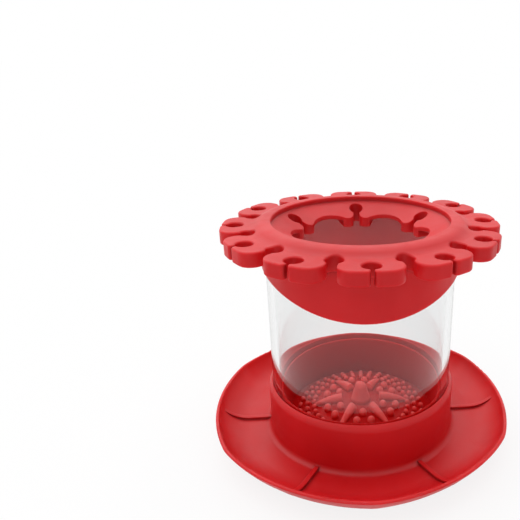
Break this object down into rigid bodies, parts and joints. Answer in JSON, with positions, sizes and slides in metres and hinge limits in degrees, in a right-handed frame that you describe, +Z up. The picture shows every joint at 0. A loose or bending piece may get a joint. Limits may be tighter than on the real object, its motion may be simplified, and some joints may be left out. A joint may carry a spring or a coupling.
{
  "type": "brush washer cup",
  "caption": "Free-standing cup for washing and holding paint brushes: dished tray with a collar, clear tube, nubbed washing floor and a lobed lift-off lid with brush slots.",
  "frame": {"origin": "centre of the flat underside of the tray, on the axis of the tube", "axes": "+Z up along the tube's axis, -Y towards the viewer of the picture, +X to the viewer's right"},
  "size_m": [0.132, 0.134, 0.1],
  "materials": {
    "red_silicone": "satin",
    "clear_plastic": "gloss"
  },
  "bodies": {
    "base": {"base_tray": "red_silicone", "scrub_pad": "red_silicone"},
    "tube": {"water_tube": "clear_plastic"},
    "lid": {"brush_lid": "red_silicone"}
  },
  "joints": [
    {"name": "tube_lift", "type": "slide", "parent": "base", "child": "tube", "axis": [0, 0, 1], "range_m": [0, 0.04]},
    {"name": "lid_lift", "type": "slide", "parent": "tube", "child": "lid", "axis": [0, 0, 1], "range_m": [0, 0.04]}
  ]
}
